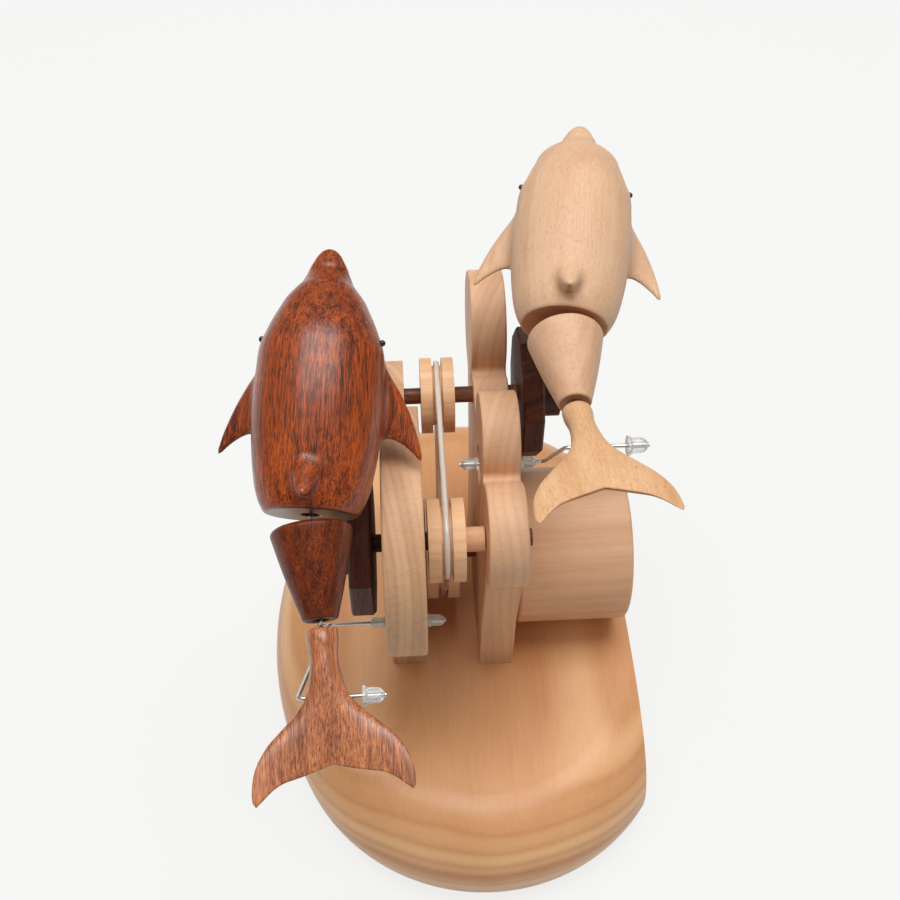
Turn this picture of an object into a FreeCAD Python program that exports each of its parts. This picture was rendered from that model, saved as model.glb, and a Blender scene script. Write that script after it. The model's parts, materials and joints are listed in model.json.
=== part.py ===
import FreeCAD, Part
import math
import os
from FreeCAD import Vector

# Wooden automaton: two articulated dolphins swim on cranks above a pebble-shaped base.
# Frame: millimetres, +X to the right, +Y towards the noses, +Z up; the origin is on the
# underside of the base, below the axle of the drum.

# ---------------------------------------------------------------- driving dimensions
RUN_FIT = 0.05            # radial clearance of every turning wood or wire joint

# base: an oval block with rounded sides, sawn flat on the right
BASE_THICK = 38.0
BASE_HALF_WIDTH = 84.0
BASE_HALF_LENGTH = 108.0
BASE_END_RADIUS = 76.0
BASE_CENTRE = (14.0, -5.0)
BASE_TOP_ROUND = 25.0
BASE_FOOT_ROUND = 10.0
BASE_CUT_X = 74.0

# the two upright plates
PLATE_THICK = 13.0
LEFT_PLATE_IN_X = -7.5    # inner face of the left plate
RIGHT_PLATE_IN_X = 13.3   # inner face of the right plate
LEFT_BLEND = 5.0          # radius in the hollow corners of the left plate
RIGHT_BLEND = 2.0         # and in the tight clefts of the right one
PLATE_EDGE = 0.8          # softened edges
LEFT_LOBE_RADIUS = 37.4
LEFT_HEAD_RADIUS = 13.3
LEFT_HEAD_STEP = 4.7      # the head round the back axle is thinner, on its inner face
LEFT_HEAD_START = 12.0    # y where the step begins
WINDOW_WALL = 3.3         # wood round the window in the left plate
AXLE_BOSS_RADIUS = 6.5    # hump of the right plate over the back axle
# round crests of the right plate: y, height above the axles, radius
RIGHT_WAVES = [(-34.6, 1.3, 17.5), (0.0, 11.0, 16.2), (59.0, 9.5, 20.2)]
# straight-sided body of each plate, from the front of its foot: y, level, height above that
# level; the feet run 2 mm into the base and are trimmed flat
LEFT_BODY = [(-33.0, "base", -2.0), (32.0, "base", -2.0), (24.0, "shaft", 10.0), (40.0, "axles", -9.0),
             (31.0, "axles", 12.0), (-15.0, "axles", 20.0), (-38.0, "shaft", 14.0)]
RIGHT_BODY = [(-35.0, "base", -2.0), (38.0, "base", -2.0), (42.0, "shaft", 8.0), (58.0, "axles", -6.7),
              (42.8, "axles", -5.0), (35.0, "axles", -1.0), (27.0, "axles", 5.0), (12.0, "axles", 6.0),
              (0.0, "axles", 11.0), (-17.3, "axles", 6.0), (-34.6, "axles", 1.3),
              (-41.0, "axles", -22.0), (-35.0, "shaft", 0.0)]
DOWEL_RADIUS = 3.0
DOWEL_DEPTH = 12.0        # how far a dowel goes into plate and base
LEFT_DOWEL_Y = (-22.0, 20.0)
RIGHT_DOWEL_Y = (-24.0, 26.0)

# three shafts, places as (y, height above the base top)
AXLE_RADIUS = 3.0
SHAFT_RADIUS = 4.0
FRONT_AXLE_Y = -35.0
BACK_AXLE_Y = 31.0
AXLE_STUB = 2.5           # how far an axle end stands out of a plate

# hand drum on the lower shaft
DRUM_RADIUS = 30.0
DRUM_LENGTH = 42.3
DRUM_GAP = 1.5            # between plate and drum
DRUM_FLOOR_GAP = 0.6      # between drum and base top
DRUM_DISC_GAP = 8.1       # between drum and the crank disc above it; sets the height of both axles
DRUM_EDGE = 1.5

# pulleys and belt
PULLEY_RADIUS = 14.0
CORE_RADIUS = 11.0
DRIVE_RADIUS = 19.5
DRIVE_CORE_RADIUS = 16.5
PULLEY_DISC_THICK = 4.2
PULLEY_CORE_THICK = 3.8
BELT_RADIUS = 1.0
BELT_GAP = 0.25           # between belt and groove
SPACER_RADIUS = 4.2

# facetted crank discs and the arms that carry the dolphins
DISC_RADIUS = 24.5
DISC_SIDES = 10
DISC_THICK = 7.7
DISC_EDGE = 0.7           # chamfer of the discs
DISC_GAP = 3.5            # between plate and disc
CRANK_THROW = 6.0
CRANK_ANGLE = -56.0       # dark crank at rest, degrees from +Y; the light one is opposite
PIN_RADIUS = 1.6
PIN_HEAD_RADIUS = 3.2
PIN_HEAD_THICK = 1.4
PIN_DEPTH = 6.5
ARM_GAP = 0.8             # between disc and arm
ARM_THICK = 6.0
ARM_HUB_RADIUS = 10.0
ARM_ROOT_WIDTH = 18.4     # of the stem where it leaves the hub
ARM_STEM_WIDTH = 9.0      # of the stem at the belly
ARM_SINK = 4.0            # depth of the mortise in the belly
ARM_STATION = 0.47        # where the arm enters, as a share of the body length

# dolphins
BODY_LENGTH = 84.0
BODY_WIDTH = 38.5
BODY_HEIGHT = 33.0
# sections of the body: share of the length from the tail end, share of full width, share of
# full height, and how far the centre of the section lies above the axis
BODY_SECTIONS = [(0.0, 0.73, 0.76, 0.0), (0.15, 0.93, 0.92, 0.3), (0.30, 1.0, 1.0, 0.6),
                 (0.50, 1.0, 1.0, 0.5), (0.61, 0.955, 0.95, 0.2), (0.70, 0.83, 0.83, -0.2),
                 (0.78, 0.67, 0.65, -0.6), (0.85, 0.475, 0.46, -1.2), (0.91, 0.33, 0.31, -1.7),
                 (0.955, 0.235, 0.215, -2.0), (0.985, 0.15, 0.13, -2.2), (1.0, 0.06, 0.05, -2.3)]
# pectoral fin: x, y and z of the section's middle, half chord, half thickness
PECTORAL = [(12.0, 37.8, -5.0, 12.6, 4.2), (19.5, 35.8, -6.5, 10.2, 2.8), (24.5, 31.5, -8.3, 7.2, 2.1),
            (28.3, 26.0, -9.3, 4.4, 1.5), (30.4, 21.8, -9.6, 2.2, 1.0), (31.2, 20.0, -9.7, 1.0, 0.6)]
# dorsal fin: y and z of the section's middle, half chord, half thickness
DORSAL = [(11.0, 10.0, 7.5, 4.2), (8.5, 15.5, 5.0, 3.0), (5.6, 18.6, 3.0, 1.9), (3.6, 20.4, 1.4, 1.0)]
EYE_RADIUS = 1.0
EYE_STATION = 0.628       # share of the body length, from the tail end
EYE_SIDE = 0.945          # share of the half width where the bead sits
EYE_HEIGHT = 1.5
CONE_LENGTH = 27.0
CONE_FRONT_RADIUS = 12.0
CONE_REAR_RADIUS = 5.3
CONE_FRONT_EDGE = 1.6
CONE_REAR_EDGE = 0.8
FLUKE_LENGTH = 39.0
FLUKE_SPAN = 41.5
FLUKE_SWEEP = 9.0         # tips behind the notch
FLUKE_STALK_RADIUS = 4.5
# plan of the fluke: share of the half span, share of the way from the hinge to the tips
FLUKE_EDGE = [(0.325, 0.0), (0.325, 0.21), (0.325, 0.42), (0.44, 0.512), (0.60, 0.581), (0.757, 0.65),
              (0.872, 0.719), (0.949, 0.788), (0.99, 0.87), (1.0, 0.94), (0.965, 1.0)]
FLUKE_TRAIL = [(0.965, 1.0), (0.887, 0.967), (0.747, 0.917), (0.607, 0.881), (0.467, 0.869), (0.231, 0.844)]
# its sections: share of the way to the tips, half width as a share of the half span, half height
# as a share of the stalk radius; the first ones are the stalk, with the width a share of that too
STALK_SECTIONS = [(0.177, 0.89, 0.93), (0.30, 1.0, 0.87), (0.375, 1.2, 0.81)]
BLADE_SECTIONS = [(0.44, 0.345, 0.75), (0.512, 0.48, 0.68), (0.581, 0.65, 0.60), (0.65, 0.81, 0.52),
                  (0.719, 0.93, 0.46), (0.83, 1.08, 0.38), (1.03, 1.25, 0.26)]
TAIL_GAP = 4.0            # between two parts of the tail, around each hinge
PIVOT_BACK = 19.7         # wire hole, behind the rear hinge

# tail hinges: sideways from the arm, behind the axle and above it
DARK_HINGE_ASIDE = 5.2
DARK_HINGE_BACK = 20.7
DARK_HINGE_RISE = 41.4
LIGHT_HINGE_ASIDE = 2.1
LIGHT_HINGE_BACK = 28.7
LIGHT_HINGE_RISE = 58.0

# eye screws that hinge the tail
EYELET_RADIUS = 1.7
EYELET_WIRE = 0.4
EYELET_OFFSET = 1.15
EYELET_SHANK = 9.0
RECESS_RADIUS = 2.7
RECESS_DEPTH = 2.6

# bent wires and their clear stoppers
WIRE_RADIUS = 0.6
WIRE_BEND = 1.5
WINDOW_SLACK = 1.1        # free play of the wire in the plate beyond the crank throw
DARK_WINDOW_GAP = 0.5     # between the circling stopper and the dark crank disc
DARK_WINDOW_ANGLE = -112.0
LIGHT_WINDOW_GAP = 1.3    # the same at the light crank disc
LIGHT_WINDOW_ANGLE = 181.2
STOPPER_RADIUS = 2.0
STOPPER_LENGTH = 6.2
# outline of a stopper: share of its length, share of its radius
STOPPER_FORM = [(0.0, 1.0), (0.28, 1.0), (0.30, 0.82), (0.62, 0.82), (0.9, 0.60), (1.0, 0.42)]
STOPPER_GAP = 0.5         # between stopper and plate
STOPPER_STALK_GAP = 3.5   # between stopper and fluke
WIRE_TIP = 0.4            # wire end beyond its stopper
ARM_WIRE_GAP = 1.9        # between fluke and the long arm of the wire

# ---------------------------------------------------------------- derived places
SHAFT_Z = BASE_THICK + DRUM_RADIUS + DRUM_FLOOR_GAP
DRUM_TO_AXLE = DRUM_RADIUS + DRUM_DISC_GAP + DISC_RADIUS
AXLE_Z = SHAFT_Z + math.sqrt(DRUM_TO_AXLE ** 2 - BACK_AXLE_Y ** 2)
LEFT_PLATE_OUT_X = LEFT_PLATE_IN_X - PLATE_THICK
RIGHT_PLATE_OUT_X = RIGHT_PLATE_IN_X + PLATE_THICK
PULLEY_HALF = PULLEY_DISC_THICK + PULLEY_CORE_THICK / 2
DRUM_X0 = RIGHT_PLATE_OUT_X + DRUM_GAP
DRUM_X1 = DRUM_X0 + DRUM_LENGTH
WINDOW_RADIUS = CRANK_THROW + WIRE_RADIUS + WINDOW_SLACK
FRONT_AXLE = (FRONT_AXLE_Y, AXLE_Z)
BACK_AXLE = (BACK_AXLE_Y, AXLE_Z)
SHAFT = (0.0, SHAFT_Z)

# each dolphin: side (-1 left, +1 right), x of its tail hinge, the hinge (y, z), the pitch
# and yaw of its parts in degrees (nose up, nose to the right), the wire's window in the plate
# as (distance, angle) from the axle, and how far outside the plate the wire turns up
ARM_OUT = DISC_GAP + DISC_THICK + ARM_GAP + ARM_THICK / 2
CIRCLING_REACH = DISC_RADIUS + CRANK_THROW + STOPPER_RADIUS
DARK = {"name": "dark", "side": -1, "axle": FRONT_AXLE, "crank": CRANK_ANGLE,
        "x": LEFT_PLATE_OUT_X - ARM_OUT - DARK_HINGE_ASIDE,
        "hinge": (FRONT_AXLE_Y - DARK_HINGE_BACK, AXLE_Z + DARK_HINGE_RISE),
        "pitch": 27.0, "yaw": 5.5, "tail_pitch": 22.0, "tail_yaw": -5.6,
        "fluke_pitch": 18.0, "fluke_yaw": -4.5,
        "window": (CIRCLING_REACH + DARK_WINDOW_GAP, DARK_WINDOW_ANGLE), "wire_reach": 21.5}
LIGHT = {"name": "light", "side": 1, "axle": BACK_AXLE, "crank": CRANK_ANGLE + 180.0,
         "x": RIGHT_PLATE_OUT_X + ARM_OUT - LIGHT_HINGE_ASIDE,
         "hinge": (BACK_AXLE_Y - LIGHT_HINGE_BACK, AXLE_Z + LIGHT_HINGE_RISE),
         "pitch": 14.5, "yaw": 9.7, "tail_pitch": 4.0, "tail_yaw": 0.0,
         "fluke_pitch": -14.5, "fluke_yaw": -6.0,
         "window": (CIRCLING_REACH + LIGHT_WINDOW_GAP, LIGHT_WINDOW_ANGLE), "wire_reach": 9.5}

NODES = {}


# ---------------------------------------------------------------- helpers
def add(name, *solids):
    """Keep one node: one solid, or a group of separate solids."""
    NODES[name] = solids[0] if len(solids) == 1 else Part.makeCompound(list(solids))


def rod(x0, x1, place, radius):
    """Round bar along X between x0 and x1, at place = (y, z)."""
    return Part.makeCylinder(radius, x1 - x0, Vector(x0, place[0], place[1]), Vector(1, 0, 0))


def ring(x0, x1, place, radius, bore):
    return rod(x0, x1, place, radius).cut(rod(x0 - 1, x1 + 1, place, bore))


def slab(face_yz, x0, x1):
    """Extrude a face that lies in the YZ plane from x0 to x1."""
    face = face_yz.copy()
    face.translate(Vector(x0, 0, 0))
    return face.extrude(Vector(x1 - x0, 0, 0))


def disc_face(place, radius):
    edge = Part.makeCircle(radius, Vector(0, place[0], place[1]), Vector(1, 0, 0))
    return Part.Face(Part.Wire(edge))


def polygon_face(points):
    corners = [Vector(0, y, z) for y, z in points]
    return Part.Face(Part.makePolygon(corners + corners[:1]))


def at_levels(rows):
    """Points (y, z) from rows of y, the level they are measured from and the height above it."""
    levels = {"base": BASE_THICK, "shaft": SHAFT_Z, "axles": AXLE_Z}
    return [(y, levels[level] + rise) for y, level, rise in rows]


def polar(centre, radius, degrees):
    angle = math.radians(degrees)
    return (centre[0] + radius * math.cos(angle), centre[1] + radius * math.sin(angle))


def window_centre(d):
    """Middle of the plate's window; the wire circles round it as the dolphin rides its crank."""
    reach, degrees = d["window"]
    return polar(d["axle"], reach, degrees)


def edges_on_faces(shape, xs):
    """Edges that lie wholly in one of the planes x = xs."""
    chosen = []
    for edge in shape.Edges:
        box = edge.BoundBox
        if any(abs(box.XMin - x) < 1e-4 and abs(box.XMax - x) < 1e-4 for x in xs):
            chosen.append(edge)
    return chosen


def aim(shape, origin, pitch, yaw):
    """Turn a shape made along +Y nose-up by pitch and to the right by yaw, then place it."""
    placed = shape.copy()
    placed.rotate(Vector(0, 0, 0), Vector(1, 0, 0), pitch)
    placed.rotate(Vector(0, 0, 0), Vector(0, 0, 1), -yaw)
    placed.translate(Vector(*origin))
    return placed


def behind(origin, distance, pitch, yaw):
    """The point at a distance behind origin, along an axis with this pitch and yaw."""
    p = math.radians(pitch)
    w = math.radians(yaw)
    return (origin[0] - distance * math.cos(p) * math.sin(w),
            origin[1] - distance * math.cos(p) * math.cos(w),
            origin[2] - distance * math.sin(p))


def oval_section(y, half_width, half_height, z_shift=0.0, x_shift=0.0):
    """Closed smooth curve round an ellipse in the plane y."""
    count = 16
    points = []
    for k in range(count):
        a = 2 * math.pi * k / count
        points.append(Vector(x_shift + half_width * math.cos(a), y, z_shift + half_height * math.sin(a)))
    curve = Part.BSplineCurve()
    curve.interpolate(points, PeriodicFlag=True)
    return Part.Wire(curve.toShape())


def fin_section(centre, half_chord, half_thick, normal):
    """Closed smooth leaf section: chord along Y, thickness across, in a plane with this normal."""
    count = 10
    points = []
    for k in range(count):
        a = 2 * math.pi * k / count
        along = half_chord * math.cos(a)
        across = half_thick * math.sin(a)
        if normal == "x":
            points.append(Vector(centre[0], centre[1] + along, centre[2] + across))
        else:
            points.append(Vector(centre[0] + across, centre[1] + along, centre[2]))
    curve = Part.BSplineCurve()
    curve.interpolate(points, PeriodicFlag=True)
    return Part.Wire(curve.toShape())


def bent_path(points, bend):
    """Straight runs through the points, joined by tangent arcs of one radius."""
    edges = []
    start = points[0]
    for i in range(1, len(points) - 1):
        before = (points[i - 1] - points[i]).normalize()
        after = (points[i + 1] - points[i]).normalize()
        half = before.getAngle(after) / 2
        reach = bend / math.tan(half)
        p_in = points[i] + before * reach
        p_out = points[i] + after * reach
        middle = (before + after).normalize()
        p_mid = points[i] + middle * (bend / math.sin(half) - bend)
        edges.append(Part.LineSegment(start, p_in).toShape())
        edges.append(Part.Arc(p_in, p_mid, p_out).toShape())
        start = p_out
    edges.append(Part.LineSegment(start, points[-1]).toShape())
    return Part.Wire(edges)


def belt_path(pulleys):
    """Closed loop round circles (y, z, radius) given counter-clockwise, seen along -X."""
    normals = []
    for i, (y0, z0, r0) in enumerate(pulleys):
        y1, z1, r1 = pulleys[(i + 1) % len(pulleys)]
        length = math.hypot(y1 - y0, z1 - z0)
        u = ((y1 - y0) / length, (z1 - z0) / length)
        lean = (r0 - r1) / length
        side = math.sqrt(1 - lean * lean)
        normals.append((u[0] * lean + u[1] * side, u[1] * lean - u[0] * side))
    edges = []
    for i, (y, z, r) in enumerate(pulleys):
        n_in = normals[i - 1]
        n_out = normals[i]
        mid = (n_in[0] + n_out[0], n_in[1] + n_out[1])
        size = math.hypot(*mid)
        arc_points = [Vector(0, y + r * n[0], z + r * n[1])
                      for n in (n_in, (mid[0] / size, mid[1] / size), n_out)]
        edges.append(Part.Arc(*arc_points).toShape())
        y1, z1, r1 = pulleys[(i + 1) % len(pulleys)]
        edges.append(Part.LineSegment(arc_points[2], Vector(0, y1 + r1 * n_out[0],
                                                            z1 + r1 * n_out[1])).toShape())
    return Part.Wire(edges)


def sweep_round(path, radius):
    start = path.OrderedEdges[0].valueAt(path.OrderedEdges[0].FirstParameter)
    tangent = path.OrderedEdges[0].tangentAt(path.OrderedEdges[0].FirstParameter)
    profile = Part.Wire(Part.makeCircle(radius, start, tangent))
    return path.makePipeShell([profile], True, True)


# ---------------------------------------------------------------- base
def make_base():
    """Four-arc oval block, rounded over above and below, with its right side sawn flat."""
    a, b, r = BASE_HALF_WIDTH, BASE_HALF_LENGTH, BASE_END_RADIUS
    side_r = (a * a - r * r + (b - r) ** 2) / (2 * (a - r))
    end_y = b - r
    lean = math.atan2(end_y, side_r - a)
    cx, cy = BASE_CENTRE

    def at(x, y):
        return Vector(cx + x, cy + y, 0)

    jx = r * math.cos(lean)
    jy = end_y + r * math.sin(lean)
    oval = Part.Wire([
        Part.Arc(at(jx, jy), at(0, b), at(-jx, jy)).toShape(),
        Part.Arc(at(-jx, jy), at(-a, 0), at(-jx, -jy)).toShape(),
        Part.Arc(at(-jx, -jy), at(0, -b), at(jx, -jy)).toShape(),
        Part.Arc(at(jx, -jy), at(a, 0), at(jx, jy)).toShape()])
    block = Part.Face(oval).extrude(Vector(0, 0, BASE_THICK))
    top = [e for e in block.Edges if e.BoundBox.ZMin > BASE_THICK - 1e-3]
    block = block.makeFillet(BASE_TOP_ROUND, top)
    foot = [e for e in block.Edges if e.BoundBox.ZMax < 1e-3]
    block = block.makeFillet(BASE_FOOT_ROUND, foot)
    saw = Part.makeBox(2 * a, 4 * b, 2 * BASE_THICK, Vector(BASE_CUT_X, -2 * b, -BASE_THICK / 2))
    block = block.cut(saw)
    for place in dowel_places():
        block = block.cut(dowel_hole(place))
    add("base_block", block)


def dowel_places():
    """Two dowels under each plate: (x, y)."""
    left_x = LEFT_PLATE_IN_X - PLATE_THICK / 2
    right_x = RIGHT_PLATE_IN_X + PLATE_THICK / 2
    return [(left_x, y) for y in LEFT_DOWEL_Y] + [(right_x, y) for y in RIGHT_DOWEL_Y]


def dowel_hole(place):
    return Part.makeCylinder(DOWEL_RADIUS, 2 * DOWEL_DEPTH,
                             Vector(place[0], place[1], BASE_THICK - DOWEL_DEPTH))


def make_dowels():
    places = dowel_places()
    add("left_plate_dowels", *[dowel_hole(p) for p in places[:2]])
    add("right_plate_dowels", *[dowel_hole(p) for p in places[2:]])


# ---------------------------------------------------------------- plates
def blended(faces, radius):
    """Unite flat faces and round the hollow corners between them."""
    face = faces[0].multiFuse(faces[1:]).removeSplitter().Faces[0]
    face = face.makeOffset2D(radius).Faces[0]
    return face.makeOffset2D(-radius).Faces[0]


def finish_plate(face, x0, bores, windows, dowels):
    """Extrude an outline, soften its edges, drill it and trim its foot to the base top."""
    x1 = x0 + PLATE_THICK
    plate = slab(face, x0, x1)
    plate = plate.makeFillet(PLATE_EDGE, edges_on_faces(plate, [x0, x1]))
    for place, radius in bores + windows:
        plate = plate.cut(rod(x0, x1, place, radius))
    for place in dowels:
        plate = plate.cut(dowel_hole(place))
    corner = Vector(x0, -BASE_HALF_LENGTH, 0)
    return plate.cut(Part.makeBox(PLATE_THICK, 2 * BASE_HALF_LENGTH, BASE_THICK, corner))


def shaft_bores():
    return [(FRONT_AXLE, AXLE_RADIUS + RUN_FIT), (BACK_AXLE, AXLE_RADIUS + RUN_FIT),
            (SHAFT, SHAFT_RADIUS + RUN_FIT)]


def make_left_plate():
    """A big round lobe round the front axle, a thinner small head round the back axle and a foot."""
    faces = [disc_face(FRONT_AXLE, LEFT_LOBE_RADIUS),
             disc_face(BACK_AXLE, LEFT_HEAD_RADIUS),
             disc_face(window_centre(DARK), WINDOW_RADIUS + WINDOW_WALL),
             polygon_face(at_levels(LEFT_BODY))]
    plate = finish_plate(blended(faces, LEFT_BLEND), LEFT_PLATE_OUT_X, shaft_bores(),
                         [(window_centre(DARK), WINDOW_RADIUS)], dowel_places()[:2])
    reach = 2 * LEFT_LOBE_RADIUS
    corner = Vector(LEFT_PLATE_IN_X - LEFT_HEAD_STEP, LEFT_HEAD_START, AXLE_Z - 1.5 * LEFT_HEAD_RADIUS)
    add("left_frame_plate", plate.cut(Part.makeBox(LEFT_HEAD_STEP, reach, reach, corner)))


def make_right_plate():
    """A wave outline: three round crests with clefts between them, above a foot."""
    faces = [disc_face((y, AXLE_Z + rise), radius) for y, rise, radius in RIGHT_WAVES]
    faces += [disc_face(BACK_AXLE, AXLE_BOSS_RADIUS), polygon_face(at_levels(RIGHT_BODY))]
    plate = finish_plate(blended(faces, RIGHT_BLEND), RIGHT_PLATE_IN_X, shaft_bores(),
                         [(window_centre(LIGHT), WINDOW_RADIUS)], dowel_places()[2:])
    add("right_frame_plate", plate)


# ---------------------------------------------------------------- shafts, drum, pulleys, belt
def make_drum():
    drum = rod(DRUM_X0, DRUM_X1, SHAFT, DRUM_RADIUS)
    drum = drum.makeFillet(DRUM_EDGE, edges_on_faces(drum, [DRUM_X0, DRUM_X1]))
    add("hand_drum", drum.cut(rod(DRUM_X0 - 1, DRUM_X1 + 1, SHAFT, SHAFT_RADIUS)))
    add("main_shaft", rod(LEFT_PLATE_OUT_X - AXLE_STUB, DRUM_X1, SHAFT, SHAFT_RADIUS))


def make_pulley(name, place, disc_radius, core_radius, bore):
    half_core = PULLEY_CORE_THICK / 2
    add(name + "_pulley_discs",
        ring(-PULLEY_HALF, -half_core, place, disc_radius, bore),
        ring(half_core, PULLEY_HALF, place, disc_radius, bore))
    add(name + "_pulley_core", ring(-half_core, half_core, place, core_radius, bore))


def make_axles():
    front_x0 = LEFT_PLATE_OUT_X - DISC_GAP - DISC_THICK
    add("front_axle", rod(front_x0, RIGHT_PLATE_OUT_X + AXLE_STUB, FRONT_AXLE, AXLE_RADIUS))
    back_x1 = RIGHT_PLATE_OUT_X + DISC_GAP + DISC_THICK
    add("back_axle", rod(LEFT_PLATE_OUT_X - AXLE_STUB, back_x1, BACK_AXLE, AXLE_RADIUS))
    spacer_end = RIGHT_PLATE_IN_X - STOPPER_GAP
    add("front_axle_spacer", ring(PULLEY_HALF, spacer_end, FRONT_AXLE, SPACER_RADIUS, AXLE_RADIUS))


def make_belt():
    rise = BELT_GAP + BELT_RADIUS
    loop = belt_path([(SHAFT[0], SHAFT[1], DRIVE_CORE_RADIUS + rise),
                      (BACK_AXLE[0], BACK_AXLE[1], CORE_RADIUS + rise),
                      (FRONT_AXLE[0], FRONT_AXLE[1], CORE_RADIUS + rise)])
    add("drive_belt", sweep_round(loop, BELT_RADIUS))


# ---------------------------------------------------------------- cranks and arms
def facet_face(place, radius, sides, start):
    corners = [polar(place, radius, start + 360.0 * k / sides) for k in range(sides)]
    return polygon_face(corners)


def make_crank(d):
    """Facetted disc on the axle end, a headed pin in it, and the hub of the arm on the pin."""
    side = d["side"]
    plate_x = RIGHT_PLATE_OUT_X if side > 0 else LEFT_PLATE_OUT_X
    pin = polar(d["axle"], CRANK_THROW, d["crank"])
    near = plate_x + side * DISC_GAP
    far = near + side * DISC_THICK
    arm_near = far + side * ARM_GAP
    arm_far = arm_near + side * ARM_THICK

    def bar(xa, xb, place, radius):
        return rod(min(xa, xb), max(xa, xb), place, radius)

    disc = slab(facet_face(d["axle"], DISC_RADIUS, DISC_SIDES, d["crank"]), min(near, far), max(near, far))
    disc = disc.makeChamfer(DISC_EDGE, edges_on_faces(disc, [near, far]))
    disc = disc.cut(bar(near, far, d["axle"], AXLE_RADIUS))
    disc = disc.cut(bar(far - side * PIN_DEPTH, far, pin, PIN_RADIUS))
    add(d["name"] + "_crank_disc", disc)

    head_near = arm_far + side * ARM_GAP
    pin_solid = bar(far - side * PIN_DEPTH, head_near, pin, PIN_RADIUS)
    head = bar(head_near, head_near + side * PIN_HEAD_THICK, pin, PIN_HEAD_RADIUS)
    add(d["name"] + "_crank_pin", pin_solid.fuse(head).removeSplitter())
    return pin, arm_near, arm_far


def arm_blank(d, pin, arm_near, arm_far, top):
    """Round hub on the pin and a tapering stem up to the belly at top = (y, z)."""
    dy = top[0] - pin[0]
    dz = top[1] - pin[1]
    length = math.hypot(dy, dz)
    u = (dy / length, dz / length)
    n = (u[1], -u[0])
    root = ARM_ROOT_WIDTH / 2
    tip = ARM_STEM_WIDTH / 2
    corners = [(pin[0] - n[0] * root, pin[1] - n[1] * root), (pin[0] + n[0] * root, pin[1] + n[1] * root),
               (top[0] + n[0] * tip, top[1] + n[1] * tip), (top[0] - n[0] * tip, top[1] - n[1] * tip)]
    face = disc_face(pin, ARM_HUB_RADIUS).fuse(polygon_face(corners)).removeSplitter()
    arm = slab(face, min(arm_near, arm_far), max(arm_near, arm_far))
    return arm.cut(rod(min(arm_near, arm_far) - 1, max(arm_near, arm_far) + 1, pin, PIN_RADIUS + RUN_FIT))


# ---------------------------------------------------------------- dolphins
def body_form():
    sections = []
    for t, w, h, lift in BODY_SECTIONS:
        sections.append(oval_section(t * BODY_LENGTH, w * BODY_WIDTH / 2, h * BODY_HEIGHT / 2, lift))
    body = Part.makeLoft(sections, True, False)
    fins = []
    for side in (-1, 1):
        fins.append(Part.makeLoft([fin_section((side * x, y, z), c, t, "x") for x, y, z, c, t in PECTORAL],
                                  True, False))
    fins.append(Part.makeLoft([fin_section((0, y, z), c, t, "z") for y, z, c, t in DORSAL], True, False))
    return body.multiFuse(fins)


def eye_beads():
    y = EYE_STATION * BODY_LENGTH
    x = EYE_SIDE * BODY_WIDTH / 2
    return [Part.makeSphere(EYE_RADIUS, Vector(side * x, y, EYE_HEIGHT), Vector(side, 0, 0))
            for side in (-1, 1)]


def rim_at(shape, y):
    """The round edges that lie in the plane y."""
    return [e for e in shape.Edges if abs(e.BoundBox.YMin - y) < 1e-3 and abs(e.BoundBox.YMax - y) < 1e-3]


def tail_cone():
    """Round taper from the front face to the rear face, made along +Y with its hinge at 0."""
    front = -TAIL_GAP / 2
    rear = front - CONE_LENGTH
    cone = Part.makeCone(CONE_REAR_RADIUS, CONE_FRONT_RADIUS, CONE_LENGTH, Vector(0, rear, 0),
                         Vector(0, 1, 0))
    cone = cone.makeFillet(CONE_FRONT_EDGE, rim_at(cone, front))
    return cone.makeFillet(CONE_REAR_EDGE, rim_at(cone, rear))


def fluke_plan():
    """Plan outline of the tail fluke: a stalk that widens into two swept lobes."""
    half = FLUKE_SPAN / 2
    tip = -FLUKE_LENGTH - FLUKE_SWEEP
    side = Part.BSplineCurve()
    side.interpolate([Vector(x * half, share * tip, 0) for x, share in FLUKE_EDGE])
    trail = Part.BSplineCurve()
    notch = Vector(0, -FLUKE_LENGTH, 0)
    trail.interpolate([Vector(x * half, share * tip, 0) for x, share in FLUKE_TRAIL] + [notch])
    right = [side.toShape(), trail.toShape()]
    left = [e.mirror(Vector(0, 0, 0), Vector(1, 0, 0)) for e in right]
    wide = FLUKE_EDGE[0][0] * half
    nose = Part.LineSegment(Vector(-wide, 0, 0), Vector(wide, 0, 0)).toShape()
    return Part.Face(Part.Wire(Part.__sortEdges__([nose] + right + left)))


def fluke_form():
    """Stalk and flukes carved as one streamlined form, trimmed to the plan outline."""
    r = FLUKE_STALK_RADIUS
    half = FLUKE_SPAN / 2
    tip = -FLUKE_LENGTH - FLUKE_SWEEP
    sections = [oval_section(-TAIL_GAP / 2, r, r)]
    sections += [oval_section(share * tip, wide * r, high * r) for share, wide, high in STALK_SECTIONS]
    sections += [oval_section(share * tip, wide * half, high * r) for share, wide, high in BLADE_SECTIONS]
    form = Part.makeLoft(sections, True, False)
    plan = fluke_plan()
    plan.translate(Vector(0, 0, -2 * r))
    return form.common(plan.extrude(Vector(0, 0, 4 * r)))


def eyelet(direction):
    """Ring in the gap and a shank into the wood; direction +1 has its shank forwards."""
    centre = Vector(0, direction * EYELET_OFFSET, 0)
    axis = Vector(1, 0, 0) if direction > 0 else Vector(0, 0, 1)
    loop = Part.makeTorus(EYELET_RADIUS, EYELET_WIRE, centre, axis)
    start = Vector(0, direction * (EYELET_OFFSET + EYELET_RADIUS), 0)
    shank = Part.makeCylinder(EYELET_WIRE, EYELET_SHANK, start, Vector(0, direction, 0))
    return loop.fuse(shank)


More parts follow.
